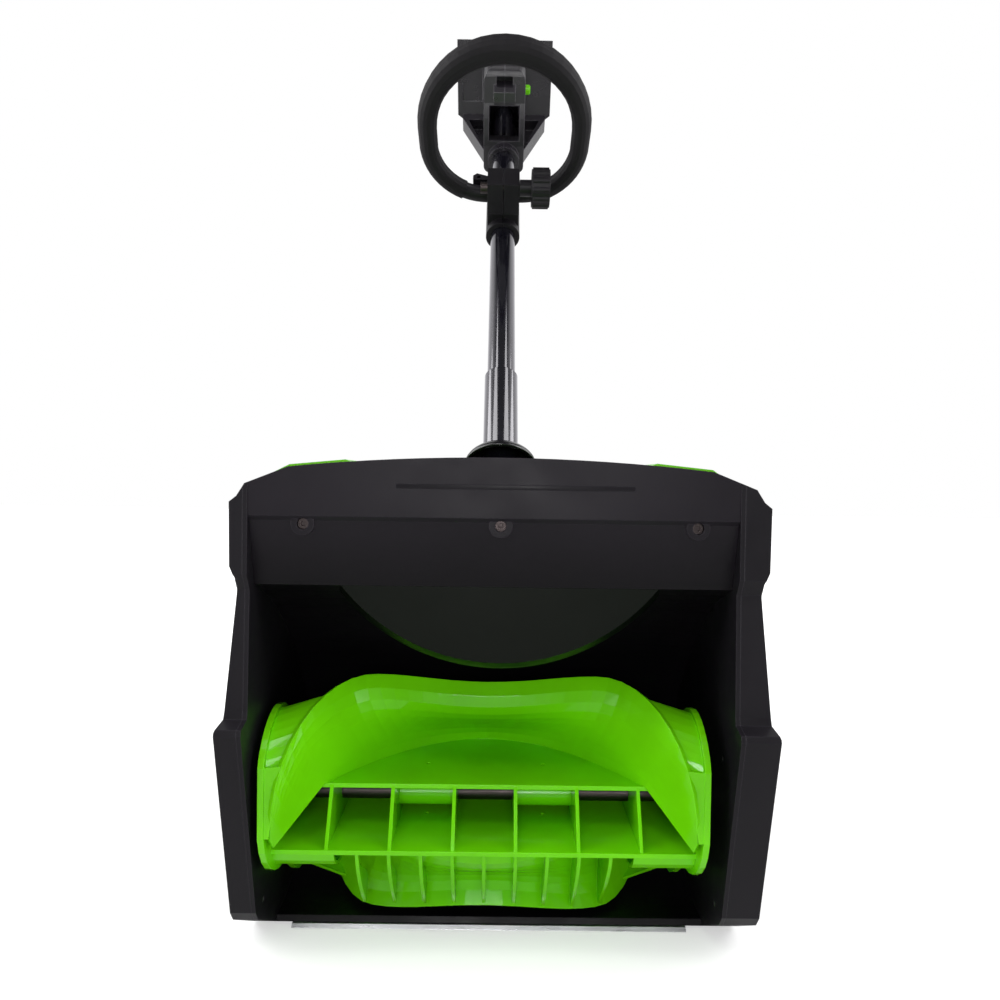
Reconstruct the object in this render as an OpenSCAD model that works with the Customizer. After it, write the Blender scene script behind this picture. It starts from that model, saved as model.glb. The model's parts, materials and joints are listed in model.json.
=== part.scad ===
// Cordless power snow shovel: a scoop housing with a two-bucket auger, a belt drive,
// a leaning two-piece shaft, a loop front handle and a trigger handle with a battery.
// Millimetres. Origin on the ground below the auger axis, -Y to the front, +Z up.

/* [Auger] */
// Length of the auger over its end discs
auger_len = 290; // [260:1:320]
// Radius swept by the bucket lips
auger_r = 86; // [80:1:92]
// Radius of the end plates at their narrow part
disc_r = 50; // [46:1:54]
// Thickness of the end plates
disc_t = 4; // [3:0.5:6]
// Thickness of the bucket sheets and hub plates
sheet_t = 3; // [2.4:0.2:4]
// Thickness of the stiffening ribs
rib_t = 2.4; // [2:0.2:3.4]
// Diameter of the auger shaft
axle_d = 12; // [10:1:14]
// Height of a hub plate's front edge above the axis
hub_h = 18.5; // [16:0.5:20]
// Number of diaphragm ribs between the hub plates
diaphragms = 6; // [4:2:8]
// Number of ribs on the back of each bucket
back_ribs = 9; // [5:2:11]

/* [Scoop housing] */
// Gap between the bucket lips and the pan
pan_gap = 3; // [2:0.5:6]
// Thickness of the pan at its lowest
pan_t = 4; // [3.5:0.5:6]
// Wall thickness of the housing mouldings
wall = 3; // [2.5:0.25:4]
// Gap between the auger and the left wall
gap_left = 5; // [4:0.5:8]
// Gap between the auger and the right wall
gap_right = 13; // [12:0.5:16]
// Width of the left side box
box_left = 17; // [16:0.5:22]
// Width of the right side box, which holds the belt
box_right = 25; // [24:0.5:30]
// Height of the mouth edge above the bucket lips
mouth_rise = 73; // [66:1:84]
// Height of the plain wall between mouth edge and lip band
front_wall_h = 45; // [38:1:55]
// Height of the lip band at mid width
lip_band_h = 38; // [32:1:44]
// Height of the shoes and of the scraper under the pan
foot_h = 2.5; // [2:0.5:5]
// How far back the housing reaches behind the auger axis
rear_y = 215; // [205:1:240]
// Radius of the domed bay floor over the auger
dome_r = 146; // [143:1:148]
// Diameter of the three lip screws' heads
lip_screw_d = 7; // [6:0.5:8]

/* [Drive] */
// Diameter of the motor can
motor_d = 74; // [66:1:80]
// Length of the motor can
motor_len = 78; // [60:1:90]
// Distance of the motor axis behind the auger axis
motor_y = 122; // [116:1:132]
// Height of the motor axis above the auger axis
motor_rise = 112; // [106:1:122]
// Radius of the drive pulley's groove floor
drive_pulley_r = 12; // [10:0.5:16]
// Radius of the driven pulley's groove floor
driven_pulley_r = 42; // [34:1:46]
// Width of the belt
belt_w = 8; // [6:0.5:9]
// Thickness of the belt
belt_t = 2.4; // [2:0.2:3]

/* [Shaft] */
// Angle of the shaft above the ground
shaft_angle = 56; // [53:0.5:59]
// Distance of the shaft's foot behind the auger axis, at deck height
foot_y = 100; // [94:1:106]
// Height of the shaft's foot above the lip
foot_rise = 10; // [6:1:16]
// Outside diameter of the lower tube
lower_tube_d = 30; // [29:0.5:33]
// Outside diameter of the upper tube
upper_tube_d = 25.4; // [24:0.2:27]
// Wall thickness of both tubes
tube_wall = 1.6; // [1.2:0.1:2]
// Length of the lower tube above the deck
lower_reach = 84; // [74:1:110]
// Distance from the foot to the neck of the rear handle
neck_s = 420; // [410:1:440]

/* [Front handle] */
// Distance from the foot to the bar of the loop handle
loop_s = 317; // [280:1:325]
// Half width of the loop on its centreline
loop_half_w = 75; // [70:1:85]
// Straight length in each side of the loop
loop_side = 15; // [4:0.5:30]
// Diameter of the bare loop tube
loop_tube_d = 16; // [14:0.5:18]
// Diameter of the grip sleeve on the loop's sides
sleeve_d = 18.6; // [17.6:0.2:21]
// Diameter of the grip sleeve at the top of the loop
sleeve_top_d = 24; // [20:0.5:28]
// Width of the clamp block
clamp_w = 32; // [30:1:36]
// Diameter of the clamp knob
knob_d = 39; // [32:1:41]
// Width of the clamp knob
knob_w = 18; // [14:1:22]

/* [Rear handle] */
// Half width of the handle's neck and legs
handle_half_w = 23; // [21:0.5:26]
// Height of the grip's top above the shaft axis
grip_top = 84; // [80:1:90]
// Height of the grip's underside above the shaft axis
grip_low = 54; // [52:1:58]
// Wall thickness of the handle mouldings
shell_t = 3; // [2.5:0.25:4]
// Width of the battery dock
dock_w = 112; // [104:1:120]
// Height of the battery dock
dock_h = 88; // [84:1:92]
// Depth of the battery dock
dock_l = 34; // [30:1:42]
// Length of the battery behind the dock
pack_len = 92; // [70:1:110]
// How far the battery plugs into the dock
plug_len = 14; // [10:1:18]

/* [Hidden] */

$fn = 48;
eps = 0.01;
part_gap = 0.3;   // between pieces of different bodies
fit_gap = 0.03;   // radial clearance of a running or locating fit
slip_gap = 0.15;  // radial clearance of a loose fit

// colours
black = [0.10, 0.10, 0.11];
grip_black = [0.06, 0.06, 0.06];
green = [0.45, 0.80, 0.05];
steel = [0.62, 0.63, 0.65];

// housing, derived
half_w = (auger_len + gap_left + gap_right + box_left + box_right) / 2;
in_l = -half_w + box_left;
in_r = half_w - box_right;
auger_x = in_l + gap_left + auger_len / 2;
chamber_r = auger_r + pan_gap;
axis_z = chamber_r + pan_t + foot_h;
mouth_y = -64;
mouth_z = axis_z + auger_r + mouth_rise;
crease_z = mouth_z + front_wall_h;
lip_z = crease_z + lip_band_h;
lip_y = mouth_y - 14;
crown_r = 1230;        // radius of the lip's arch across the width
shoulder_x = 0.76 * half_w;
deck_x = in_r - part_gap;

function crown(x, top) = top - crown_r + sqrt(crown_r * crown_r - x * x);

// ---------- small helpers ----------

function lerp(a, b, t) = a + (b - a) * t;
function bez(p, t) = p[0] * pow(1 - t, 3) + 3 * p[1] * t * pow(1 - t, 2)
    + 3 * p[2] * t * t * (1 - t) + p[3] * pow(t, 3);
function arc(c, r, a0, a1, n) =
    [for (i = [0 : n]) c + r * [cos(lerp(a0, a1, i / n)), sin(lerp(a0, a1, i / n))]];
function reversed(p) = [for (i = [len(p) - 1 : -1 : 0]) p[i]];
function unit(v) = v / norm(v);
function left_of(v) = [-v[1], v[0]];
// a path moved sideways by d, to its left
function beside(p, d) = [for (i = [0 : len(p) - 1])
    let (a = i > 0 ? unit(p[i] - p[i - 1]) : unit(p[1] - p[0]),
         b = i < len(p) - 1 ? unit(p[i + 1] - p[i]) : a,
         m = unit(a + b))
    p[i] + left_of(m) * d / max(0.5, m * b)];

// a (y, z) outline pushed along X
module along_x(x0, x1) {
    translate([x0, 0, 0]) rotate([90, 0, 90]) linear_extrude(x1 - x0) children();
}

// an (x, z) outline pushed along Y
module along_y(y0, y1) {
    translate([0, y1, 0]) rotate([90, 0, 0]) linear_extrude(y1 - y0) children();
}

module x_rod(x0, x1, r, y = 0, z = 0) {
    translate([x0, y, z]) rotate([0, 90, 0]) cylinder(h = x1 - x0, r = r);
}

module housing_top() {
    along_y(lip_y - 20, rear_y + 20) polygon(top_outline(lip_z));
}

// ---------- scoop housing ----------

// front view of the housing's top: an arch with dropped shoulders
function top_outline(top) = concat(
    [[-half_w - 1, -1], [half_w + 1, -1], [half_w + 1, top - 32], [half_w - 5, top - 30],
     [half_w - 10, top - 26], [half_w - 15, top - 18]],
    [for (i = [8 : -1 : -8]) let (x = shoulder_x * i / 8) [x, crown(x, top)]],
    [[-half_w + 15, top - 18], [-half_w + 10, top - 26], [-half_w + 5, top - 30],
     [-half_w - 1, top - 32]]);

ledge_z = axis_z + 70;
rear_line = [[rear_y - 20, foot_h], [rear_y - 8, foot_h + 4], [rear_y - 2, foot_h + 16],
    [rear_y, axis_z + 24], [rear_y - 8, axis_z + 90], [rear_y - 26, axis_z + 150],
    [rear_y - 50, lip_z - 36]];
// side view of the housing, anticlockwise from the toe
side_outline = concat(
    [[-chamber_r + 32, axis_z - 60], [-chamber_r + 38, axis_z - 68], [-10, foot_h]],
    rear_line,
    [[rear_y - 68, lip_z - 6], [rear_y - 85, lip_z + 4], [lip_y, lip_z + 4],
     [lip_y - 1, mouth_z + 8], [lip_y + 5, mouth_z - 2], [lip_y + 2, ledge_z + 10],
     [lip_y + 1, ledge_z + 5], [-chamber_r + 1, ledge_z + 2], [-chamber_r, ledge_z - 2]]);

// a closed anticlockwise outline moved inwards by d
function inset(p, d) = let (n = len(p)) [for (i = [0 : n - 1])
    let (a = unit(p[i] - p[(i + n - 1) % n]), b = unit(p[(i + 1) % n] - p[i]),
         m = unit(a + b))
    p[i] + left_of(m) * d / max(0.4, m * b)];

// side view of the chamber's skin, from the lip over the roof and round to the pan
roof_in = [mouth_y, mouth_z];
roof_out = [0, axis_z] + chamber_r * [cos(35), sin(35)];
chamber_path = concat(
    [[lip_y, lip_z + 10], [lip_y, crease_z], [lip_y + 3, crease_z - 3]],
    [for (i = [0 : 9]) bez([roof_in, roof_in + [60, -18], roof_out + [-31.5, 45], roof_out], i / 10)],
    arc([0, axis_z], chamber_r, 35, -90, 22),
    [[-8, axis_z - chamber_r]]);
bearing_od = 28;
bearing_w = 8;
dome_z = mouth_z + 82;
motor_z = axis_z + motor_rise;
lip_screw_z = crease_z - 5;
lip_screw_x = 0.71 * half_w;
post_x = 27;
post_y = [14, 68];
socket_z = dome_z - 82;

module chamber_space() {
    along_x(in_l, in_r)
        polygon(concat(chamber_path, [[-200, axis_z - chamber_r], [-200, lip_z + 10]]));
}

module dome(r) {
    translate([0, 0, dome_z]) sphere(r = r, $fn = 96);
}

module dome_box(inner) {
    d = inner ? wall : 0;
    translate([-150, mouth_y + d, axis_z + 80]) cube([300, 120, mouth_z - axis_z - 80 - d]);
}

module lip_screw_places() {
    for (x = [-lip_screw_x, 0, lip_screw_x])
        translate([x, lip_y + 2, lip_screw_z]) rotate([-90, 0, 0]) children();
}

module socket_places() {
    for (x = [-post_x, post_x], y = post_y) translate([x, y, 0]) children();
}

// side plate screws, as places in the side view
plate_screw_yz = [[-52, axis_z + 45], [-40, axis_z - 60], [rear_y - 22, foot_h + 22],
    [rear_y - 50, axis_z + 160], [-50, mouth_z + 42]];

module plate_screw_places() {
    for (p = plate_screw_yz) translate([0, p[0], p[1]]) rotate([0, 90, 0]) children();
}

// holes through either side wall for the side plate's screws
module wall_screw_holes() {
    for (x = [in_l - wall - 1, in_r - 1])
        translate([x, 0, 0]) plate_screw_places() cylinder(h = wall + 2, r = 2 + fit_gap);
}

// posts of one row that carry the shaft socket
module socket_posts(y) {
    for (x = [-post_x, post_x]) translate([x, y, axis_z + 40])
        cylinder(h = socket_z - axis_z - 40, r = 7);
}

module socket_post_holes() {
    socket_places() translate([0, 0, socket_z - 22]) cylinder(h = 30, r = 2 + fit_gap);
}

module dome_cap() {
    intersection() {
        dome(dome_r);
        dome_box(false);
    }
}

// the skin round the chamber: lip band, front wall, roof, back and pan
module hood_shell() color(black) difference() {
    union() {
        intersection() {
            along_x(in_l, in_r) polygon(concat(chamber_path, reversed(beside(chamber_path, wall))));
            housing_top();
        }
        // bottom plate
        along_x(in_l, in_r)
            polygon([[-10, foot_h], [rear_y - 22, foot_h], [rear_y - 22, foot_h + wall],
                [24, foot_h + wall + 2], [0, axis_z - chamber_r], [-8, axis_z - chamber_r]]);
        // bosses of the lip screws
        lip_screw_places() cylinder(h = 15, r = lip_screw_d / 2 + 4);
        difference() {
            socket_posts(post_y[1]);
            chamber_space();
        }
    }
    dome_cap();
    lip_screw_places() {
        translate([0, 0, -6]) cylinder(h = 11, r = lip_screw_d / 2 + slip_gap);
        cylinder(h = 14, r = lip_screw_d / 4 + fit_gap);
    }
    socket_post_holes();
}

// domed floor of the open bay over the auger, with two of the socket's posts
module dome_bay() color(black) difference() {
    union() {
        difference() {
            dome_cap();
            intersection() {
                dome(dome_r - wall);
                dome_box(true);
            }
        }
        intersection() {
            socket_posts(post_y[0]);
            dome(dome_r - 1);
        }
    }
    socket_post_holes();
}

// a side wall of the chamber, from x0 outwards by one wall
module side_wall(x0) {
    intersection() {
        along_x(x0, x0 + wall) polygon(side_outline);
        housing_top();
    }
}

// blocks on a side wall that take the rear cover's screws
module cover_blocks(x0) {
    for (z = [foot_h + 40, axis_z + 100]) translate([x0, rear_y - 40, z - 6]) cube([8, 24, 12]);
}

module left_wall() color(black) difference() {
    union() {
        side_wall(in_l - wall);
        cover_blocks(in_l);
        x_rod(in_l - bearing_w - 2, in_l, bearing_od / 2 + 4, 0, axis_z);
    }
    x_rod(in_l - bearing_w - 3, in_l, bearing_od / 2 + fit_gap, 0, axis_z);
    x_rod(in_l - 1, in_l + 1, bearing_od / 2 - 2, 0, axis_z);
    wall_screw_holes();
}

module right_wall() color(black) difference() {
    union() {
        side_wall(in_r);
        cover_blocks(in_r - 8);
        x_rod(in_r - 7, in_r + wall, bearing_od / 2 + 4, 0, axis_z);
    }
    x_rod(in_r - bearing_w + wall, in_r + wall + 1, bearing_od / 2 + fit_gap, 0, axis_z);
    x_rod(in_r - 20, in_r + 1, bearing_od / 2 - 2, 0, axis_z);
    // motor spigot
    x_rod(in_r - 1, in_r + wall + 1, 15 + fit_gap, motor_y, motor_z);
    wall_screw_holes();
}

// outer face of a side plate, front view
function cheek(d) = [[0, -1], [half_w - d, -1], [half_w - d, ledge_z], [half_w - 2 - d, ledge_z + 5],
    [half_w - 9 - d, mouth_z - 4], [half_w - 9 - d, mouth_z + 6], [half_w - 6 - d, mouth_z + 13],
    [half_w - 5 - d, lip_z + 1], [0, lip_z + 1]];

// a tray that closes one side; x0 is its inner face, drawn for the right side
module side_plate(x0) {
    difference() {
        union() {
            intersection() {
                difference() {
                    along_x(x0, half_w + 1) polygon(side_outline);
                    // long shallow panel between ledge and cheek
                    translate([half_w - 2.5, -60, ledge_z + 12]) rotate([0, -5, 0])
                        along_x(0, 20) polygon(panel_outline);
                    intersection() {
                        along_x(x0 - 1, half_w) polygon(inset(side_outline, wall));
                        along_y(lip_y - 20, rear_y + 20) polygon(cheek(wall));
                        along_y(lip_y - 20, rear_y + 20) polygon(top_outline(lip_z - wall));
                    }
                }
                along_y(lip_y - 20, rear_y + 20) polygon(cheek(0));
                housing_top();
            }
            intersection() {
                translate([x0, 0, 0]) plate_screw_places() cylinder(h = 40, r = 5.5);
                along_y(lip_y - 20, rear_y + 20) polygon(cheek(1));
            }
        }
        translate([x0 - 1, 0, 0]) plate_screw_places() cylinder(h = 40, r = 2 + fit_gap);
        translate([half_w - 13, 0, 0]) plate_screw_places() cylinder(h = 40, r = 4.5);
    }
}
panel_outline = [[0, 0], [150, 0], [238, 10], [222, 46], [150, 62], [10, 62]];

module left_side_plate() color(black) mirror([1, 0, 0]) side_plate(-in_l + wall);
module right_side_plate() color(black) side_plate(in_r + wall);

module plate_screws() color(steel) {
    for (side = [-1, 1]) {
        head_x = half_w - 13;
        x0 = (side > 0 ? in_r : -in_l) + 0.5;
        mirror([side < 0 ? 1 : 0, 0, 0]) plate_screw_places() {
            translate([0, 0, head_x]) cylinder(h = 3, r = 4.2);
            translate([0, 0, x0]) cylinder(h = head_x - x0, r = 2);
        }
    }
}

module lip_screws() color(steel) lip_screw_places() {
    difference() {
        translate([0, 0, 2.2]) cylinder(h = 2.8, r = lip_screw_d / 2);
        translate([0, 0, 1]) cylinder(h = 2.6, r = lip_screw_d / 4, $fn = 6);
    }
    translate([0, 0, 5]) cylinder(h = 8, r = lip_screw_d / 4);
}

// steel wear strip under the pan's front edge
shoe_w = 12;
scraper_x = [in_l - wall + shoe_w + 3, in_r + wall - shoe_w - 3];
scraper_screw_x = [for (i = [0 : 4]) lerp(scraper_x[0] + 20, scraper_x[1] - 20, i / 4)];

module scraper_bar() color(steel) difference() {
    along_x(scraper_x[0], scraper_x[1])
        polygon([[-14, 0], [24, 0], [24, foot_h], [-12, foot_h]]);
    for (x = scraper_screw_x)
        translate([x, 13, -1]) cylinder(h = foot_h + 2, r = 2 + fit_gap);
    for (x = scraper_screw_x) translate([x, 13, -1]) cylinder(h = 2.2, r = 4.2);
}

module scraper_screws() color(steel) for (x = scraper_screw_x) translate([x, 13, 0]) {
    translate([0, 0, 0.4]) cylinder(h = 0.8, r = 4);
    translate([0, 0, 0.4]) cylinder(h = foot_h - 0.4, r = 2);
}

// wear runners under the side walls
module skid_shoes() color(grip_black) for (x = [in_l - wall, in_r - shoe_w + wall])
    along_x(x, x + shoe_w) polygon([[-6, foot_h], [-2, 0.6], [4, 0], [rear_y - 26, 0],
        [rear_y - 22, foot_h]]);

// ---------- covers ----------

deck_t = 2.5;
deck_path = [[lip_y + wall + slip_gap + 0.4, crease_z + 12], [lip_y + wall + slip_gap + 0.4, lip_z + 4],
    [foot_y - 40, lip_z + 4], [foot_y + 22, lip_z + 4], [foot_y + 45, lip_z - 5],
    [rear_y - 52, lip_z - 34]];

// front view of the deck: the lip's arch with two raised rails
deck_skirt = 24;    // how deep the deck's side edges hang
rail_x = 0.56 * half_w;
function deck_outline(rise) = concat(
    [[deck_x, axis_z], [deck_x, crown(deck_x, lip_z) - 8 + rise],
     [shoulder_x, crown(shoulder_x, lip_z) + 1.4 + rise], [rail_x, crown(rail_x, lip_z) + 1.6 + rise]],
    [for (i = [4 : -1 : -4]) let (x = 0.54 * half_w * i / 4) [x, crown(x, lip_z) - 0.2 + rise]],
    [[-rail_x, crown(rail_x, lip_z) + 1.6 + rise],
     [-shoulder_x, crown(shoulder_x, lip_z) + 1.4 + rise],
     [in_l + part_gap, crown(-in_l, lip_z) - 8 + rise], [in_l + part_gap, axis_z]]);

module deck_cover() color(green) difference() {
    intersection() {
        along_x(in_l + part_gap, deck_x)
            polygon(concat(deck_path, reversed(beside(deck_path, -deck_t - deck_skirt))));
        along_y(lip_y, rear_y) polygon(deck_outline(0));
    }
    intersection() {
        along_x(in_l + part_gap + deck_t, deck_x - deck_t)
            polygon(concat(beside(deck_path, -deck_t),
                reversed(beside(deck_path, -deck_t - deck_skirt - 6))));
        along_y(lip_y, rear_y) polygon(deck_outline(-deck_t));
    }
    on_shaft(-40) cylinder(h = 100, r = boot_r + 0.8);
    for (x = [in_l + 14, in_r - 14], y = [-30, foot_y + 10])
        translate([x, y, lip_z - 30]) cylinder(h = 40, r = 2.2);
}

// rear wall with its air slots
module rear_cover() color(black) {
    line = concat([[rear_y - 20, foot_h + wall + 0.1]], [for (i = [2 : 6]) rear_line[i]],
        [[rear_y - 51, lip_z - 35]]);
    difference() {
        union() {
            along_x(in_l + slip_gap, in_r - slip_gap)
                polygon(concat(line, reversed(beside(line, wall))));
            for (x = [-100, -34, 32, 98])
                along_x(x, x + 2.4) polygon(concat(beside(line, wall - 1), reversed(beside(line, 12))));
        }
        for (i = [0 : 6], x = [-110, 50])
            translate([x, rear_y - 60, axis_z + 30 + 9 * i]) cube([60, 80, 4]);
        for (x = [in_l + 4, in_r - 4], z = [foot_h + 40, axis_z + 100])
            translate([x, rear_y - 30, z]) rotate([-90, 0, 0]) cylinder(h = 40, r = 2.2);
    }
}

// ---------- auger ----------

// The rotor's own frame: X along the axle, Y backwards, Z up, axle at the origin.
sheet_x = auger_len / 2 - disc_t;   // the buckets' half width, between the end plates
shelf_x = 0.787 * sheet_x;          // half width of the shelf
reach = auger_r / 86;
plate_front = 35 * reach;
plate_rear = 54 * reach;
plate_rise = 3.5;
root_back = 50 * reach;             // how far back the sheet stands on the shelf
sheet_nw = 36;
sheet_nv = 9;
lip_turn = 0.41;                    // share of the lip before it falls to the end plates

function plate_z(y) = hub_h + plate_rise * (y + plate_front) / (plate_front + plate_rear);
function sized(x, y, z) = [x * sheet_x / 141, y * reach, z * reach];
lip_mid = [sized(0, 18, 75), sized(34, 18, 75), sized(62, 14, 82), sized(84, 1, 84.5)];
lip_end = [lip_mid[3], sized(116, -18, 88), sized(133, -96, 66), sized(139, -67, -6)];
function mirrored(p, side) = [side * p[0], p[1], p[2]];

// the sheet's foot, w from -1 to 1 across the auger: an arc on the hub plate, then down to the lip's end
root_turn = 0.72;
root_end = sized(138, -62, -13);
function root_pt(w) = let (a = min(1, abs(w)), u = min(1, a / root_turn),
        y = root_back - (root_back + plate_front) * u * u,
        t = max(0, (a - root_turn) / (1 - root_turn)))
    mirrored(lerp([shelf_x * u, y, plate_z(y)], root_end, t), sign(w));
// the bucket's lip: two humps with a dip between, falling to the end plates' front
function lip_pt(w) = let (a = min(1, abs(w)))
    mirrored(a < lip_turn ? bez(lip_mid, a / lip_turn)
        : bez(lip_end, (a - lip_turn) / (1 - lip_turn)), sign(w));
// the sheet rises from the shelf, overhangs it and leans back again at the lip
function sheet_pt(w, v) = let (a = root_pt(w), c = lip_pt(w), k = pow(1 - w * w, 1.5), third = (c - a) / 3,
        up = [third[0], k * -2 + (1 - k) * third[1], k * 23 * reach + (1 - k) * third[2]],
        down = [third[0], k * 22 * reach + (1 - k) * third[1], k * 31 * reach + (1 - k) * third[2]])
    bez([a, a + up, c - down, c], v);
function sheet_normal(w, v) = let (d = 0.004, w0 = max(w - d, -1), w1 = min(w + d, 1),
        v0 = max(v - d, 0), v1 = min(v + d, 1))
    unit(cross(sheet_pt(w1, v) - sheet_pt(w0, v), sheet_pt(w, v1) - sheet_pt(w, v0)));
// the point of the sheet at a given x
function sheet_at(x, v, w = 0, step = 0.5) = step < 0.001 ? sheet_pt(w, v)
    : sheet_at(x, v, sheet_pt(w + step, v)[0] < x ? w + step : w, step / 2);

function quad(a, b, c, d) = [[c, b, a], [d, c, a]];

// a solid between two grids of points, each of rows by columns, the first one outermost
module skin(front, back, rows, cols) {
    n = rows * cols;
    faces = concat(
        [for (i = [0 : rows - 2], j = [0 : cols - 2], f = let (k = i * cols + j)
            quad(k, k + 1, k + cols + 1, k + cols)) f],
        [for (i = [0 : rows - 2], j = [0 : cols - 2], f = let (k = n + i * cols + j)
            quad(k, k + cols, k + cols + 1, k + 1)) f],
        [for (i = [0 : rows - 2], f = let (k = i * cols) quad(k, k + cols, n + k + cols, n + k)) f],
        [for (i = [0 : rows - 2], f = let (k = (i + 1) * cols - 1)
            quad(k, n + k, n + k + cols, k + cols)) f],
        [for (j = [0 : cols - 2], f = quad(j, n + j, n + j + 1, j + 1)) f],
        [for (j = [0 : cols - 2], f = let (k = (rows - 1) * cols + j)
            quad(k, k + 1, n + k + 1, n + k)) f]);
    polyhedron(concat(front, back), faces, convexity = 6);
}

module bucket_sheet() {
    layers = [for (s = [-0.5, 0.5]) [for (i = [0 : sheet_nw], j = [0 : sheet_nv])
        let (w = 2 * i / sheet_nw - 1, v = j / sheet_nv)
        sheet_pt(w, v) + s * sheet_t * sheet_normal(w, v)]];
    skin(layers[0], layers[1], sheet_nw + 1, sheet_nv + 1);
}

function rib_x(n, span) = [for (i = [0 : n - 1]) lerp(-span, span, i / (n - 1))];

// Half of an end plate's outline, from its front edge over the lobe to its narrow part.
// The other half is the same one turned round the axle.
plate_y = 71.5 * reach;             // where the end plate's straight front edge stands
lobe = [[-plate_y, 42 * reach], [-68, 56] * reach, [-50, 72] * reach, [-31, 71.5] * reach];
narrow = disc_r * [0.54, 0.84];
end_half = concat([[-plate_y, -4 * reach]], [for (i = [0 : 8]) bez(lobe, i / 8)],
    [for (i = [1 : 6]) bez([lobe[3], lobe[3] + [23, 0], narrow + [-23, 2], narrow], i / 6)],
    [for (i = [1 : 5]) bez([narrow, narrow + [19, -1], [plate_y - 5, 27 * reach],
        [plate_y, 4 * reach]], i / 6)]);
module end_plate() polygon(concat(end_half, [for (p = end_half) -p]));

rim_h = 3.2;                        // how far an end plate's rim stands above its covers
cover_t = 2.4;

// closes the gap between an end plate and the bucket's lip, drawn for the right end
module end_cover() {
    // flat front wedge beside the lip's fall
    lip_top = bez(lip_end, 0.7);
    along_y(0.5 - plate_y, 3.5 - plate_y)
        polygon([[sheet_x + 0.5, -4 * reach], [sheet_x + 0.5, lobe[0][1]], [lip_top[0], lip_top[2] - 3],
            [lip_end[3][0] - 1, lip_end[3][2] + 2]]);
    // sunk cover over the lobe
    steps = 8;
    outer = [for (i = [0 : steps])
        let (t = i / steps, e = bez(lobe, t), r = norm(e), q = bez(lip_end, 0.72 - 0.44 * t))
        [[sheet_x + 0.5, e[0] * (1 - rim_h / r), e[1] * (1 - rim_h / r)],
         [q[0] - 1, q[1] * 0.965, q[2] * 0.965]]];
    inner = [for (row = outer) [for (p = row)
        let (k = 1 - cover_t / norm([p[1], p[2]])) [p[0], p[1] * k, p[2] * k]]];
    skin([for (row = inner, p = row) p], [for (row = outer, p = row) p], steps + 1, 2);
    // cover behind the plate's end
    back = [for (t = [0 : 4]) bez([[plate_rear - 1, hub_h + plate_rise - 1], [plate_rear - 5, hub_h + 14],
        narrow + [12, -4], narrow + [-2, -3]], t / 4)];
    along_x(0.71 * sheet_x, sheet_x + 0.5) polygon(concat(back, reversed(beside(back, cover_t))));
}

// one bucket: hub plate, curved sheet, the ribs on its back and the covers at its ends
module bucket() {
    bucket_sheet();
    along_x(-sheet_x, sheet_x)
        polygon([[-plate_front, hub_h], [plate_rear, hub_h + plate_rise],
            [plate_rear, hub_h + plate_rise - sheet_t], [-plate_front, hub_h - sheet_t]]);
    for (x = rib_x(back_ribs, 0.6 * sheet_x)) {
        seat = [for (j = [0 : 8]) let (p = sheet_at(x, 0.03 + 0.96 * j / 8)) [p[1], p[2]]];
        tip = seat[8];
        foot = [plate_rear - 0.5, hub_h + plate_rise - 1];
        along_x(x - rib_t / 2, x + rib_t / 2)
            polygon(concat([for (i = [0 : 6]) bez([foot, foot + [-4, 18], tip + [15, -16], tip], i / 6)],
                [for (j = [7 : -1 : 0]) seat[j]]));
    }
    for (m = [0, 1]) mirror([m, 0, 0]) end_cover();
}

module auger_rotor() color(green) translate([auger_x, 0, axis_z]) difference() {
    union() {
        bucket();
        rotate([180, 0, 0]) bucket();
        // diaphragms between the hub plates
        for (x = rib_x(diaphragms, 0.745 * sheet_x))
            along_x(x - rib_t / 2, x + rib_t / 2)
                polygon([[-plate_front, hub_h - 1], [-plate_rear, -hub_h - plate_rise + 1],
                    [plate_front, 1 - hub_h], [plate_rear, hub_h + plate_rise - 1]]);
        for (side = [-1, 1]) {
            // sleeves on the axle
            pitch = 1.49 * sheet_x / (diaphragms - 1);
            x_rod(side > 0 ? pitch / 2 : -1.5 * pitch, side > 0 ? 1.5 * pitch : -pitch / 2,
                axle_d / 2 + 3.5);
            x_rod(side > 0 ? sheet_x - 12 : -sheet_x, side > 0 ? sheet_x : 12 - sheet_x, axle_d / 2 + 5);
            along_x(side > 0 ? sheet_x : -auger_len / 2, side > 0 ? auger_len / 2 : -sheet_x) end_plate();
        }
    }
    x_rod(-auger_len, auger_len, axle_d / 2 + fit_gap);
    // holes of the drive pins, through the sleeves
    for (side = [-1, 1]) translate([side * 0.298 * sheet_x, 0, -20]) cylinder(h = 40, r = 1.5 + fit_gap);
}

axle_x = [in_l - bearing_w + 0.5, in_r + wall + belt_w + 4.5];

module auger_shaft() color(steel) difference() {
    union() {
        x_rod(axle_x[0], axle_x[1], axle_d / 2, 0, axis_z);
        x_rod(auger_x + auger_len / 2 + slip_gap, in_r - 7 - part_gap, axle_d / 2 + 1.5, 0, axis_z);
    }
    for (side = [-1, 1])
        translate([auger_x + side * 0.298 * sheet_x, 0, axis_z - 20]) cylinder(h = 40, r = 1.5 + fit_gap);
}

module auger_pins() color(steel) for (side = [-1, 1])
    translate([auger_x + side * 0.298 * sheet_x, 0, axis_z - 9.5]) cylinder(h = 19, r = 1.5);

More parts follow.
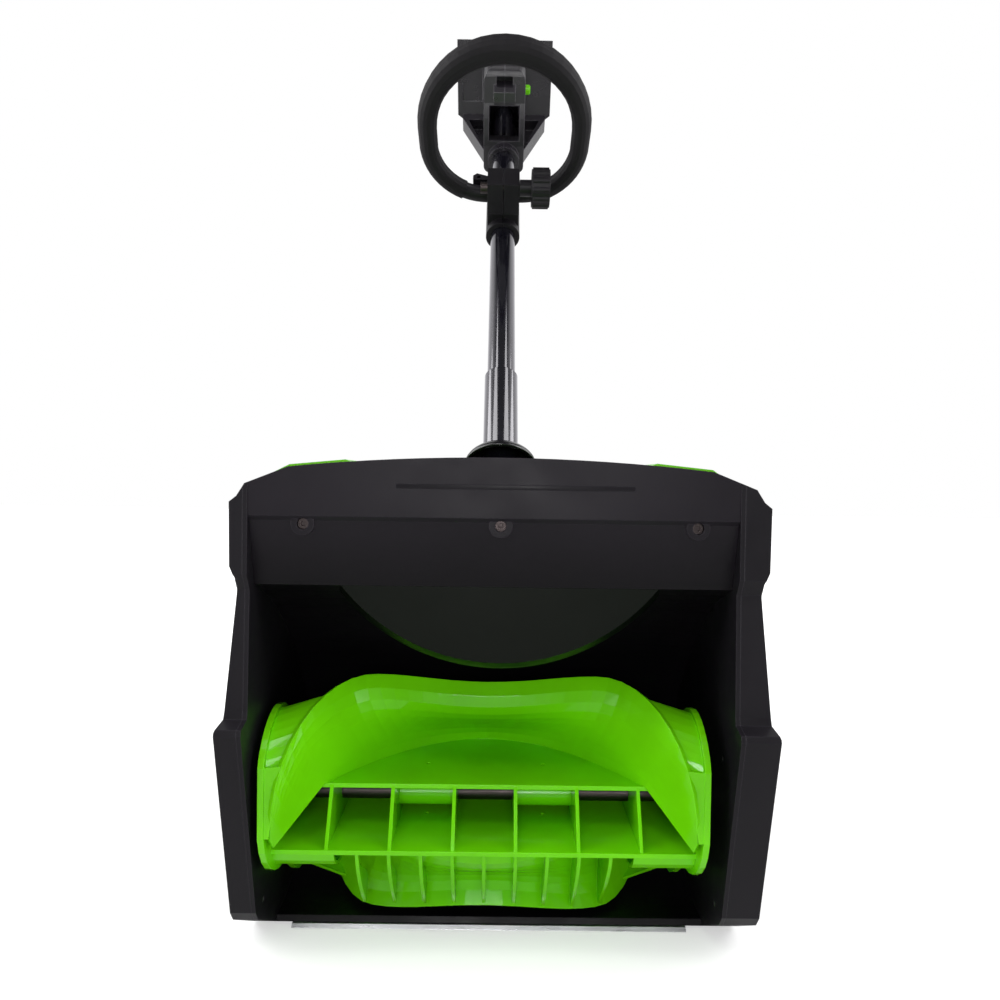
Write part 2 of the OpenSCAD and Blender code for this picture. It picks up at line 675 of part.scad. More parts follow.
module ball_bearing() {
    rotate([0, 90, 0]) rotate_extrude() polygon([
        [axle_d / 2 + fit_gap, 0], [axle_d / 2 + 2.4, 0], [axle_d / 2 + 2.8, 0.7],
        [bearing_od / 2 - 2.8, 0.7], [bearing_od / 2 - 2.4, 0], [bearing_od / 2, 0],
        [bearing_od / 2, bearing_w], [bearing_od / 2 - 2.4, bearing_w],
        [bearing_od / 2 - 2.8, bearing_w - 0.7], [axle_d / 2 + 2.8, bearing_w - 0.7],
        [axle_d / 2 + 2.4, bearing_w], [axle_d / 2 + fit_gap, bearing_w]]);
}
module left_bearing() color(steel) translate([in_l - bearing_w, 0, axis_z]) ball_bearing();
module right_bearing() color(steel) translate([in_r + wall - bearing_w, 0, axis_z]) ball_bearing();
module bearing_cap() color(black)
    x_rod(in_l - bearing_w - 4, in_l - bearing_w - 2, bearing_od / 2 + 4, 0, axis_z);

// ---------- belt drive ----------

belt_x = in_r + wall + 1.5;   // inner edge of both pulleys
pulley_w = belt_w + 2 + 2 * part_gap;
belt_run = norm([motor_y, motor_z - axis_z]);
belt_tilt = atan2(motor_z - axis_z, motor_y);
wrap = asin((driven_pulley_r - drive_pulley_r) / belt_run);

module pulley(r, bore_r, rim) {
    difference() {
        rotate([0, 90, 0]) rotate_extrude() polygon([
            [0, 0], [r + rim, 0], [r + rim, 0.9], [r, 1], [r, pulley_w - 1],
            [r + rim, pulley_w - 0.9], [r + rim, pulley_w], [0, pulley_w]]);
        x_rod(-1, pulley_w + 1, bore_r);
    }
}

module driven_pulley() color(grip_black) translate([belt_x, 0, axis_z]) difference() {
    pulley(driven_pulley_r, axle_d / 2 + fit_gap, 2.6);
    for (a = [0 : 60 : 300]) rotate([a, 0, 0])
        x_rod(-1, pulley_w + 1, 0.17 * driven_pulley_r, 0.62 * driven_pulley_r, 0);
    difference() {
        x_rod(pulley_w - 3, pulley_w + 1, driven_pulley_r - 3);
        x_rod(pulley_w - 4, pulley_w + 2, axle_d / 2 + 6);
    }
}

module drive_pulley() color(steel) translate([belt_x, motor_y, motor_z])
    pulley(drive_pulley_r, 4 + fit_gap, 2.6);

// outline of the belt loop, grown by d over the pulleys
function belt_outline(d) = concat(
    arc([0, axis_z], driven_pulley_r + d, belt_tilt + 90 - wrap, belt_tilt + 270 + wrap, 40),
    arc([motor_y, motor_z], drive_pulley_r + d, belt_tilt - 90 + wrap, belt_tilt + 90 - wrap, 16));

module drive_belt() color(grip_black) difference() {
    along_x(belt_x + 1 + part_gap, belt_x + 1 + part_gap + belt_w)
        polygon(belt_outline(belt_t + part_gap));
    along_x(belt_x, belt_x + pulley_w) polygon(belt_outline(part_gap));
}

module motor_shaft() color(steel)
    x_rod(in_r - motor_len - 14, belt_x + pulley_w + 0.5, 4, motor_y, motor_z);

flange_t = 4;
motor_screw_r = motor_d / 2 - 5;
module motor_flange() color(steel) difference() {
    union() {
        x_rod(in_r - flange_t, in_r, motor_d / 2 + 3, motor_y, motor_z);
        x_rod(in_r - 1, in_r + wall, 15, motor_y, motor_z);
    }
    x_rod(in_r - 10, in_r + 10, 4 + fit_gap, motor_y, motor_z);
    for (a = [45 : 90 : 315]) translate([0, motor_y, motor_z]) rotate([a, 0, 0])
        x_rod(in_r - 10, in_r + 10, 2 + fit_gap, motor_screw_r, 0);
}

module motor_can() color(steel) translate([in_r - flange_t - motor_len, motor_y, motor_z]) difference() {
    union() {
        x_rod(0, motor_len, motor_d / 2);
        for (a = [0 : 20 : 340]) rotate([a, 0, 0])
            translate([8, -1.2, motor_d / 2 - 1]) cube([motor_len - 16, 2.4, 3]);
        x_rod(-6, 0, 14);
    }
    x_rod(-10, motor_len + 1, 4 + fit_gap);
    for (a = [45 : 90 : 315]) rotate([a, 0, 0])
        x_rod(motor_len - 14, motor_len + 1, 2 + fit_gap, motor_screw_r, 0);
    for (a = [0 : 40 : 320]) rotate([a, 0, 0])
        x_rod(-1, 5, 4, 24, 0);
}

module motor_screws() color(steel) translate([0, motor_y, motor_z])
    for (a = [45 : 90 : 315]) rotate([a, 0, 0])
        x_rod(in_r - flange_t - 12, in_r - 0.1, 2, motor_screw_r, 0);

// ---------- shaft ----------

foot_z = lip_z + foot_rise;
boot_r = 30;
lower_r = lower_tube_d / 2;
upper_r = upper_tube_d / 2;
socket_len = 80;
tube_end_s = neck_s + 104;

// the shaft's frame: Z along the shaft, -Y to its front
module on_shaft(s = 0) {
    translate([0, foot_y, foot_z]) rotate([shaft_angle - 90, 0, 0]) translate([0, 0, s]) children();
}

module tube_socket() color(black) difference() {
    union() {
        on_shaft(-socket_len - 10) cylinder(h = socket_len - 10, r = lower_r + 4.5);
        translate([-post_x - 9, post_y[0] - 9, socket_z])
            cube([2 * post_x + 18, post_y[1] - post_y[0] + 18, 5]);
        for (x = [-14, 10]) intersection() {
            translate([x, post_y[0], socket_z])
                cube([4, post_y[1] - post_y[0] + 20, 60]);
            on_shaft(-socket_len - 10) translate([-50, -34, 0]) cube([100, 80, socket_len - 20]);
        }
    }
    on_shaft(-socket_len) cylinder(h = socket_len + 10, r = lower_r + fit_gap);
    on_shaft(-socket_len - 20) cylinder(h = 30, r = 6);
    translate([-100, -100, socket_z - 100]) cube([200, 300, 100]);
    socket_places() translate([0, 0, socket_z - 1]) cylinder(h = 60, r = 2 + fit_gap);
    socket_places() translate([0, 0, socket_z + 5]) cylinder(h = 60, r = 6);
}

module socket_screws() color(steel) socket_places() {
    translate([0, 0, socket_z + 5]) cylinder(h = 3, r = 4);
    translate([0, 0, socket_z - 14]) cylinder(h = 19, r = 2);
}

boot_h = 27;
module shaft_boot() color(grip_black) on_shaft(-14) rotate_extrude() polygon(concat(
    [[lower_r + slip_gap, 0], [boot_r - 2, 0], [boot_r - 2, 3]],
    [for (i = [0 : 12])
        bez([[boot_r, 4], [boot_r, 16], [boot_r - 8, boot_h - 2], [lower_r + 2, boot_h]], i / 12)],
    [[lower_r + slip_gap, boot_h]]));

button_s = lower_reach - 22;
module lower_tube() color(black) on_shaft(-socket_len) difference() {
    cylinder(h = socket_len + lower_reach, r = lower_r);
    translate([0, 0, -1]) cylinder(h = socket_len + lower_reach + 2, r = upper_r + slip_gap);
    translate([0, 0, socket_len + button_s]) rotate([-90, 0, 0]) cylinder(h = 40, r = 4 + fit_gap);
}

module upper_tube() color(black) on_shaft(lower_reach - 74) difference() {
    len = tube_end_s - lower_reach + 74;
    cylinder(h = len, r = upper_r);
    translate([0, 0, -1]) cylinder(h = len + 2, r = upper_r - tube_wall);
    translate([0, 0, 74 - lower_reach + button_s]) rotate([-90, 0, 0]) cylinder(h = 40, r = 4 + fit_gap);
}

// sprung button that locks the two tubes, at the back of the shaft
module snap_button() color(steel) on_shaft(button_s) rotate([-90, 0, 0]) {
    translate([0, 0, upper_r - 3.4]) cylinder(h = lower_r - upper_r + 6.4, r = 4);
    translate([0, 0, upper_r - tube_wall - 3.8]) cylinder(h = 2, r = 6);
}

cable_r = 3;
cable_bend = 10;
cable_s = -socket_len - 16;   // where the cable turns towards the controller
control_size = [70, 84, 26];
function shaft_yz(s) = [foot_y + s * cos(shaft_angle), foot_z + s * sin(shaft_angle)];
cable_yz = shaft_yz(cable_s);

module power_cable() color(grip_black) on_shaft(cable_s) {
    translate([0, 0, cable_bend]) cylinder(h = tube_end_s - 4 - cable_s - cable_bend, r = cable_r);
    translate([-cable_bend, 0, cable_bend]) rotate([90, 0, 0]) rotate([0, 0, -90])
        rotate_extrude(angle = 90) translate([cable_bend, 0]) circle(r = cable_r);
    x_rod(in_l + 8 + control_size[0], -cable_bend, cable_r);
}

// the controller, hung on the left wall of the bay beside the shaft
module control_unit() color(black) {
    translate([in_l + 8, cable_yz[0] - 30, cable_yz[1] - 13]) difference() {
        cube(control_size);
        for (i = [0 : 6]) translate([-1, 8 + 10 * i, 20]) cube([60, 4, 10]);
    }
    translate([in_l, cable_yz[0] - 24, cable_yz[1] - 8]) cube([8, 72, 6]);
}

// ---------- front handle ----------

bar_n = upper_r + loop_tube_d / 2 + 4.3;   // height of the loop's bar above the shaft axis
bolt_n = bar_n + 28.5;
bolt_ds = -29.5;
clamp_low = -upper_r - 5;
clamp_ds = [-37, 16];
loop_r = loop_tube_d / 2;
bolt_r = 3;
slide_r = upper_r + 0.05;

module clamp_block() difference() {
    union() {
        translate([-clamp_w / 2, -bar_n - 13, clamp_ds[0] + 8])
            cube([clamp_w, bar_n + 13, clamp_ds[1] - clamp_ds[0] - 8]);
        // front ears that the bolt draws together
        translate([-clamp_w / 2, -bolt_n - 8, clamp_ds[0] + 1])
            cube([clamp_w, 34, 27]);
        translate([0, 0, clamp_ds[0]]) cylinder(h = clamp_ds[1] - clamp_ds[0], r = -clamp_low);
        // cap lip at the top
        translate([-clamp_w / 2 + 3, -bar_n - 15, clamp_ds[1] - 3]) cube([clamp_w - 6, 24, 5]);
    }
    translate([0, 0, clamp_ds[0] - 1]) cylinder(h = 100, r = slide_r);
    x_rod(-50, 50, loop_r + fit_gap, -bar_n, 0);
    x_rod(-50, 50, bolt_r + fit_gap, -bolt_n, bolt_ds);
}

module half_clamp(side) {
    on_shaft(loop_s) intersection() {
        clamp_block();
        translate([side > 0 ? 0.4 : -60.4, -100, -60]) cube([60, 200, 120]);
    }
}

module clamp_left() color(black) {
    half_clamp(-1);
    // cable ear on the left half
    on_shaft(loop_s) difference() {
        along_y(-bar_n - 10, -bar_n + 6) polygon([[1 - clamp_w / 2, loop_r + 2.5],
            [-clamp_w / 2 - 16, loop_r + 2.5], [-clamp_w / 2 - 16, loop_r + 9],
            [-clamp_w / 2 - 12, loop_r + 13], [1 - clamp_w / 2, clamp_ds[1]]]);
        translate([-clamp_w / 2 - 10, 0, loop_r + 7]) rotate([90, 0, 0]) cylinder(h = 90, r = 2.4);
    }
}
module clamp_right() color(black) half_clamp(1);

module clamp_bolt() color(steel) on_shaft(loop_s) translate([0, -bolt_n, bolt_ds]) {
    x_rod(-clamp_w / 2 - 7, -clamp_w / 2, 5.4);
    x_rod(-clamp_w / 2 - 1, knob_x + knob_w - 6, bolt_r);
}

knob_x = clamp_w / 2 + 12;
module clamp_knob() color(grip_black) on_shaft(loop_s) translate([0, -bolt_n, bolt_ds]) difference() {
    union() {
        x_rod(knob_x, knob_x + knob_w, knob_d / 2 - 1.6);
        for (a = [0 : 30 : 330]) rotate([a, 0, 0])
            x_rod(knob_x + 1, knob_x + knob_w - 1, 3.2, knob_d / 2 - 3.2, 0);
        x_rod(clamp_w / 2 + part_gap, knob_x + 1, 8);
    }
    x_rod(0, knob_x + knob_w - 5, bolt_r + fit_gap);
    difference() {
        x_rod(knob_x + knob_w - 2, knob_x + knob_w + 1, knob_d / 2 - 6);
        x_rod(knob_x + knob_w - 3, knob_x + knob_w + 2, knob_d / 2 - 12);
    }
}

// the loop's plane stands square to the shaft; X across, Y up the loop
module on_loop() {
    on_shaft(loop_s) translate([0, -bar_n, 0]) mirror([0, 1, 0]) children();
}
bend_x = clamp_w / 2 + 1.5;               // where the lower bend starts
loop_bend_r = loop_half_w - bend_x;
bend_n = loop_bend_r;                    // height of the lower bend's centre
crown_n = bend_n + loop_side;            // height of the top semicircle's centre

module loop_arc(big_r, small_r, a0, a1) {
    rotate([0, 0, a0]) rotate_extrude(angle = a1 - a0, $fn = 72)
        translate([big_r, 0]) circle(r = small_r, $fn = 28);
}

module loop_tube() color(grip_black) on_loop() {
    x_rod(-bend_x, bend_x, loop_r);
    for (m = [0, 1]) mirror([m, 0, 0]) {
        translate([bend_x, bend_n, 0]) loop_arc(loop_bend_r, loop_r, -90, 0);
        translate([loop_half_w, bend_n, 0]) rotate([-90, 0, 0])
            cylinder(h = loop_side, r = loop_r, $fn = 28);
    }
    translate([0, crown_n, 0]) loop_arc(loop_half_w, loop_r, 0, 180);
}

// centreline of the loop by angle: 0 at the side, 90 at the top, -90 at the bar
function loop_pt(a) = a >= 0
    ? [loop_half_w * cos(a), crown_n + loop_half_w * sin(a)]
    : [bend_x + loop_bend_r * cos(a), bend_n + loop_bend_r * sin(a)];
function smooth(t) = let (u = max(0, min(1, t))) u * u * (3 - 2 * u);
function sleeve_r(a) = lerp(sleeve_d, sleeve_top_d, smooth((a + 10) / 85)) / 2;

function ring(q, r, m) = [for (k = [0 : m - 1]) let (t = 360 * k / m, d = r * cos(t))
    [q[0][0] + d * cos(q[1]), q[0][1] + d * sin(q[1]), r * sin(t)]];

sleeve_sides = 16;
sleeve_rings = 47;
function at(side, i, k) = side * sleeve_rings * sleeve_sides + i * sleeve_sides + (k % sleeve_sides);

// moulded sleeve that thickens towards the top of the loop
module loop_grip() color(grip_black) on_loop() {
    start = -66;
    half = [for (i = [0 : 11]) lerp(start, 0, i / 11)];
    top = [for (i = [1 : 12]) lerp(0, 90, i / 12)];
    angles = concat(half, top);
    right = [for (a = angles) [loop_pt(a), a, sleeve_r(a)]];
    left = [for (i = [len(right) - 2 : -1 : 0])
        [[-right[i][0][0], right[i][0][1]], 180 - right[i][1], right[i][2]]];
    rings = concat(right, left);
    m = sleeve_sides;
    n = sleeve_rings;
    pts = concat([for (q = rings, p = ring(q, q[2], m)) p],
        [for (q = rings, p = ring(q, (loop_r + part_gap) / cos(180 / sleeve_sides), m)) p]);
    faces = concat(
        [for (i = [0 : n - 2], k = [0 : m - 1], f = [[at(0, i, k), at(0, i, k + 1), at(0, i + 1, k + 1)],
            [at(0, i, k), at(0, i + 1, k + 1), at(0, i + 1, k)]]) f],
        [for (i = [0 : n - 2], k = [0 : m - 1], f = [[at(1, i, k), at(1, i + 1, k + 1), at(1, i, k + 1)],
            [at(1, i, k), at(1, i + 1, k), at(1, i + 1, k + 1)]]) f],
        [for (k = [0 : m - 1], f = [[at(0, 0, k), at(1, 0, k), at(1, 0, k + 1)],
            [at(0, 0, k), at(1, 0, k + 1), at(0, 0, k + 1)]]) f],
        [for (k = [0 : m - 1], f = [[at(0, n - 1, k), at(1, n - 1, k + 1), at(1, n - 1, k)],
            [at(0, n - 1, k), at(0, n - 1, k + 1), at(1, n - 1, k + 1)]]) f]);
    polyhedron(pts, faces, convexity = 6);
}

// ---------- rear handle ----------

// Side outlines here are [-height above the shaft axis, distance along the shaft].
function hs(h, s) = [-h, neck_s + s];
dock_tilt = 26;           // the dock lies flatter than the shaft
dock_s = neck_s + 89;
dock_drop = 13;
leg_t = 6;
body_low = -upper_r - 7.3;

// the dock's frame: Z out of the dock's mouth, -Y to its top
module on_dock() on_shaft(dock_s) translate([0, dock_drop, 0]) rotate([-dock_tilt, 0, 0]) children();

// side view of the trigger handle, from the neck's underside round over the grip
handle_side = concat([hs(body_low, 0), hs(body_low, 180), hs(60, 180), hs(grip_top - 16, 112)],
    arc(hs(grip_top - 14, 90), 14, 150, 180, 4),
    arc(hs(grip_top - 16, 44), 16, 180, 240, 6),
    [hs(grip_top - 32, 20), hs(40, 11), hs(24, 4), hs(14, 0)]);

function rounded_bar(hw, low, top, r) = concat(
    arc([hw - r, -low - r], r, 90, 0, 5), arc([hw - r, -top + r], r, 0, -90, 5),
    arc([-hw + r, -top + r], r, -90, -180, 5), arc([-hw + r, -low - r], r, 180, 90, 5));

finger_gap = concat(arc(hs(30, 46), 8, 0, -90, 5), arc(hs(grip_low - 8, 54), 8, -90, -180, 5),
    arc(hs(grip_low - 8, 104), 8, 180, 90, 5), arc(hs(30, 92), 8, 90, 0, 5));

trigger_pivot = hs(grip_low + 12, 96);
lock_place = hs(grip_low + 6, 34);
lock_r = 5;
handle_screw_places = [hs(-upper_r - 2.6, 8), hs(upper_r + 4.5, 90), hs(grip_low + 6, 48),
    hs(grip_low + 5, 113)];

// full-width body of both handle halves
module handle_body() difference() {
    union() {
        on_shaft() intersection() {
            along_x(-handle_half_w, handle_half_w) polygon(handle_side);
            union() {
                // forked strut, widest at mid height
                translate([0, 0, neck_s]) linear_extrude(56) polygon(concat(
                    arc([handle_half_w - 8, -body_low - 8], 8, 90, 0, 5),
                    arc([handle_half_w - 14, -grip_top + 14], 14, 0, -90, 6),
                    arc([-handle_half_w + 14, -grip_top + 14], 14, -90, -180, 6),
                    arc([-handle_half_w + 8, -body_low - 8], 8, 180, 90, 5)));
                translate([0, 0, neck_s + 20]) linear_extrude(170)
                    polygon(rounded_bar(handle_half_w, body_low, 24, 4));
                translate([0, 0, neck_s + 40]) linear_extrude(150)
                    polygon(rounded_bar(handle_half_w - 6, 0, grip_top, 9));
            }
        }
        // collar round the tube
        on_shaft(neck_s - 8) cylinder(h = 24, r = upper_r + 5);
        // braces that spread to the dock's corners
        on_shaft() translate([0, -body_low, 0]) rotate([90, 0, 0]) difference() {
            linear_extrude(16) polygon([[16, neck_s + 2], [dock_w / 2 - 6, neck_s + 84],
                [dock_w / 2 - 6, neck_s + 120], [6 - dock_w / 2, neck_s + 120],
                [6 - dock_w / 2, neck_s + 84], [-16, neck_s + 2]]);
            for (m = [0, 1]) mirror([m, 0, 0]) translate([0, 0, 3]) linear_extrude(20)
                polygon([[handle_half_w, neck_s + 24], [dock_w / 2 - 13, neck_s + 82],
                    [handle_half_w, neck_s + 82]]);
        }
        // bevelled block on the front of the strut
        on_shaft() along_x(-12, 12) polygon([hs(grip_top - 30, 22), hs(grip_top - 27, 14),
            hs(grip_top - 18, 17), hs(grip_top - 14, 30)]);
    }
    on_shaft() {
        along_x(-dock_w, dock_w) polygon(finger_gap);
        // open channel between the legs, where the tube runs
        along_x(leg_t - handle_half_w, handle_half_w - leg_t)
            polygon([hs(-upper_r - 1, 18), hs(-upper_r - 1, 82), hs(grip_low - 4, 82), hs(grip_low - 4, -10),
                hs(upper_r + 9, -10), hs(upper_r + 3, 18)]);
        translate([0, 0, neck_s - 20]) cylinder(h = 150, r = upper_r + fit_gap);
        // dark window under the grip's nose
        along_x(-9, 9) polygon([hs(grip_top - 16, 0), hs(grip_top - 8, 0), hs(grip_top - 8, 38),
            hs(grip_top - 16, 38)]);
        // room for the cap on top of the grip
        along_x(-handle_half_w, handle_half_w)
            polygon([hs(grip_top - 5, 44), hs(grip_top + 5, 44),
                hs(grip_top + 5, 88), hs(grip_top - 5, 88)]);
        // trigger slot, its pin bores and the switch pocket
        along_x(-7, 7) polygon([hs(grip_low - 20, 60), hs(grip_low + 22.3, 56), hs(grip_low + 22.3, 106),
            hs(grip_low + 2, 106), hs(grip_low - 20, 100)]);
        x_rod(-11, 11, 2.5 + 0.05, trigger_pivot[0], trigger_pivot[1]);
        x_rod(7, 10.5, 4.8, trigger_pivot[0], trigger_pivot[1]);
        x_rod(7.5, 60, lock_r + 0.05, lock_place[0], lock_place[1]);
        for (p = handle_screw_places) {
            x_rod(-dock_w, dock_w, 1.5 + fit_gap, p[0], p[1]);
            x_rod(11, dock_w, 3.6, p[0], p[1]);
        }
    }
    // cut square to the dock's front face
    on_dock() translate([-100, -200, 0]) cube([200, 300, 200]);
}

module handle_left() color(black) intersection() {
    handle_body();
    translate([-200, 0, 0]) cube([200, 1200, 1400]);
}
module handle_right() color(black) intersection() {
    handle_body();
    cube([200, 1200, 1400]);
}

module handle_screws() color(steel) on_shaft() for (p = handle_screw_places) {
    x_rod(11, 13, 3.4, p[0], p[1]);
    x_rod(-10, 11, 1.5, p[0], p[1]);
}

module grip_cap() color(grip_black) on_shaft() intersection() {
    along_x(-handle_half_w, handle_half_w)
        polygon([hs(grip_top - 5, 44), hs(grip_top + 1, 46), hs(grip_top + 1, 86), hs(grip_top - 5, 88)]);
    translate([0, 0, neck_s + 40]) linear_extrude(60)
        polygon(rounded_bar(handle_half_w - 5.6, 0, grip_top + 1, 9));
}

trigger_w = 12;
module trigger() color(grip_black) on_shaft() {
    along_x(-trigger_w / 2, trigger_w / 2) polygon(concat(
        [hs(grip_low + 6, 62), hs(grip_low - 3, 62)],
        arc(hs(grip_low - 5, 70), 5, -60, 0, 5),
        [hs(grip_low - 10, 88), hs(grip_low + 2, 101), hs(grip_low + 17, 101), hs(grip_low + 17, 91),
         hs(grip_low + 6, 88)]));
    x_rod(-10.5, 10.5, 2.5, trigger_pivot[0], trigger_pivot[1]);
}

module trigger_spring() color(steel) on_shaft() translate([7.6, trigger_pivot[0], trigger_pivot[1]])
    rotate([0, 90, 0]) for (i = [0 : 2]) translate([0, 0, 0.9 * i]) rotate_extrude()
        translate([3.7, 0]) circle(r = 0.46, $fn = 16);

module trigger_switch() color(black) on_shaft()
    along_x(-6, 6) polygon([hs(grip_low + 12, 62), hs(grip_low + 22, 62), hs(grip_low + 22, 86),
        hs(grip_low + 12, 86)]);

module lock_button() color(green) on_shaft() {
    x_rod(12, handle_half_w + 4.5, lock_r, lock_place[0], lock_place[1]);
    x_rod(handle_half_w + 4.5, handle_half_w + 5.5, lock_r - 1, lock_place[0], lock_place[1]);
}

// ---------- battery ----------

// front view of the dock and pack: a box with bevelled lower corners
function box_face(hw, h, low, bevel) = [[-hw, -h], [hw, -h], [hw, -low - bevel], [hw - 1.4 * bevel, -low],
    [1.4 * bevel - hw, -low], [-hw, -low - bevel]];
plug_face = box_face(dock_w / 2 - shell_t - 8, dock_h - shell_t - 10, shell_t + 8, 4);
blade_x = [-18, -6, 6, 18];
blade_h = [dock_h - 52, dock_h - 34];
plug_z = dock_l - plug_len;

module battery_dock() color(black) difference() {
    union() {
        on_dock() linear_extrude(dock_l) polygon(box_face(dock_w / 2, dock_h, 0, 9));
    }
    on_dock() {
        translate([0, 0, shell_t]) linear_extrude(dock_l)
            polygon(box_face(dock_w / 2 - shell_t, dock_h - shell_t, shell_t, 8));
        translate([0, -dock_h / 2, -1]) linear_extrude(2.2) polygon(dock_panel);
    }
    on_shaft(neck_s) cylinder(h = 150, r = upper_r + fit_gap);
}
dock_panel = [[-dock_w / 2 + 6, -30], [-handle_half_w - 3, -30],
    [-handle_half_w - 3, 20], [-dock_w / 2 + 6, 20]];

module dock_terminals() color(steel) on_dock() {
    translate([-24, -blade_h[1] - 4, shell_t]) cube([48, blade_h[1] - blade_h[0] + 8, plug_z - shell_t - 4]);
    for (x = blade_x) translate([x - 0.6, -blade_h[1], plug_z - 4 - eps])
        cube([1.2, blade_h[1] - blade_h[0], 12]);
}

latch_size = [30, 6, 22];
latch_z = dock_l + 4;
module battery_case() color(black) on_dock() difference() {
    union() {
        translate([0, 0, dock_l + part_gap]) linear_extrude(pack_len)
            polygon(box_face(dock_w / 2 - 1.5, dock_h - 1, 1.5, 9));
        translate([0, 0, plug_z]) linear_extrude(plug_len + 1) polygon(plug_face);
    }
    // blade slots
    for (x = blade_x) translate([x - 1.2, -blade_h[1] - 1, plug_z - 1])
        cube([2.4, blade_h[1] - blade_h[0] + 2, 12]);
    // room for the cells
    translate([0, 0, dock_l + 6]) linear_extrude(pack_len - 10)
        polygon(box_face(dock_w / 2 - 4, dock_h - 14, 4.5, 7));
    // latch pocket
    translate([-latch_size[0] / 2 - part_gap, -dock_h, latch_z - part_gap])
        cube([latch_size[0] + 2 * part_gap, 9, latch_size[2] + 2 * part_gap]);
    // grooves along the sides and top
    for (m = [0, 1], i = [0 : 2]) mirror([m, 0, 0])
        translate([dock_w / 2 - 2.5, -26 - 14 * i, dock_l + 12]) cube([5, 5, pack_len - 18]);
    for (i = [0 : 3]) translate([-34, -dock_h, dock_l + 40 + 9 * i]) cube([68, 2.2, 4]);
}

module battery_latch() color(green) on_dock()
    translate([-latch_size[0] / 2, -dock_h - 3.4, latch_z]) difference() {
        cube([latch_size[0], 7.4, latch_size[2]]);
        translate([-1, -1, -1]) rotate([20, 0, 0]) translate([0, -6, -2]) cube([40, 6, 20]);
        for (i = [0 : 3]) translate([-1, -0.6, 8 + 3.4 * i]) cube([40, 1.4, 1.4]);
    }

cell_r = 9;
module battery_cells() color([0.35, 0.45, 0.6]) on_dock()
    for (i = [0 : 4], j = [0 : 2])
        translate([(i - 2) * 2.05 * cell_r, -16 - j * 2.05 * cell_r, dock_l + 6])
            cylinder(h = 65, r = cell_r);

hood_shell();
dome_bay();
left_wall();
right_wall();
left_side_plate();
right_side_plate();
deck_cover();
rear_cover();
scraper_bar();
scraper_screws();
lip_screws();
plate_screws();
skid_shoes();
auger_rotor();
auger_shaft();
auger_pins();
left_bearing();
right_bearing();
bearing_cap();
driven_pulley();
drive_belt();
drive_pulley();
motor_shaft();
motor_can();
motor_flange();
motor_screws();
control_unit();
tube_socket();
socket_screws();
shaft_boot();
lower_tube();
upper_tube();
snap_button();
power_cable();
clamp_left();
clamp_right();
clamp_bolt();
clamp_knob();
loop_tube();
loop_grip();
handle_left();
handle_right();
handle_screws();
grip_cap();
trigger();
trigger_spring();
trigger_switch();
lock_button();
battery_dock();
dock_terminals();
battery_case();
battery_cells();
battery_latch();
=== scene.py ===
"""A cordless power snow shovel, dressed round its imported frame."""

import json
import math

import bpy
from mathutils import Matrix, Vector


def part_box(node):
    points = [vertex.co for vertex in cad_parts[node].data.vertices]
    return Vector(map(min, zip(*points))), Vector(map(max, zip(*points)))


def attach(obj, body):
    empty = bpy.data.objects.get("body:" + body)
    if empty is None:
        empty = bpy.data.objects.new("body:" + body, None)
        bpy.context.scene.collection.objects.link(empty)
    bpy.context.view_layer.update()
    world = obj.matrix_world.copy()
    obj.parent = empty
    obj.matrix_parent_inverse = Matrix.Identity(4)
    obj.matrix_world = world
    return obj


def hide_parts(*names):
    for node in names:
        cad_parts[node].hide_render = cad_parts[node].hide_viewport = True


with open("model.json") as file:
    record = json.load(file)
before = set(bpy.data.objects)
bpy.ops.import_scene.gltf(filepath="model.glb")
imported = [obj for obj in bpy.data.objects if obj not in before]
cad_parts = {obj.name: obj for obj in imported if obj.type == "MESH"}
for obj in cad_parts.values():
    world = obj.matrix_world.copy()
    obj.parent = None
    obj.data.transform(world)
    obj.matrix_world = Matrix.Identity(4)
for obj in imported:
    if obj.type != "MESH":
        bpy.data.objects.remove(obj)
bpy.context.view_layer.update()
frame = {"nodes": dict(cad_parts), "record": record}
NODES = frame["nodes"]
SLOT_OF = {part["node"]: part["material_slot"] for part in frame["record"]["subparts"]}


# ---------- camera, light and floor ----------

CAMERA_PLACE = (-0.0032, -0.552, 0.3235)
CAMERA_PITCH, CAMERA_YAW, CAMERA_ROLL = -1.5, 0.3, 0.8      # degrees
CAMERA_LENS, CAMERA_SENSOR = 27.36, 36                      # millimetres
FLOOR_SIZE = 14
WHITE = (1, 1, 1, 1)


def map_range(tree, value, start, end, low, high, smooth=False):
    """Run from low to high while the value runs from start to end."""
    made = tree.nodes.new("ShaderNodeMapRange")
    if smooth:
        made.interpolation_type = "SMOOTHSTEP"
    limits = (("From Min", start), ("From Max", end), ("To Min", low), ("To Max", high))
    for socket, limit in limits:
        made.inputs[socket].default_value = limit
    tree.links.new(value, made.inputs["Value"])
    return made.outputs["Result"]


def look(position, pitch, yaw, roll):
    """A camera orientation that looks along +Y, then turns by these degrees."""
    turn = Matrix.Rotation(math.radians(-yaw), 4, "Z")
    tip = Matrix.Rotation(math.radians(90 + pitch), 4, "X")
    bank = Matrix.Rotation(math.radians(roll), 4, "Z")
    return Matrix.Translation(position) @ turn @ tip @ bank


def make_camera():
    """The camera that stands low in front of the scoop."""
    data = bpy.data.cameras.new("camera")
    data.lens = CAMERA_LENS
    data.sensor_width = CAMERA_SENSOR
    data.clip_start = 0.01
    camera = bpy.data.objects.new("camera", data)
    bpy.context.collection.objects.link(camera)
    camera.matrix_world = look(CAMERA_PLACE, CAMERA_PITCH, CAMERA_YAW, CAMERA_ROLL)
    bpy.context.scene.camera = camera


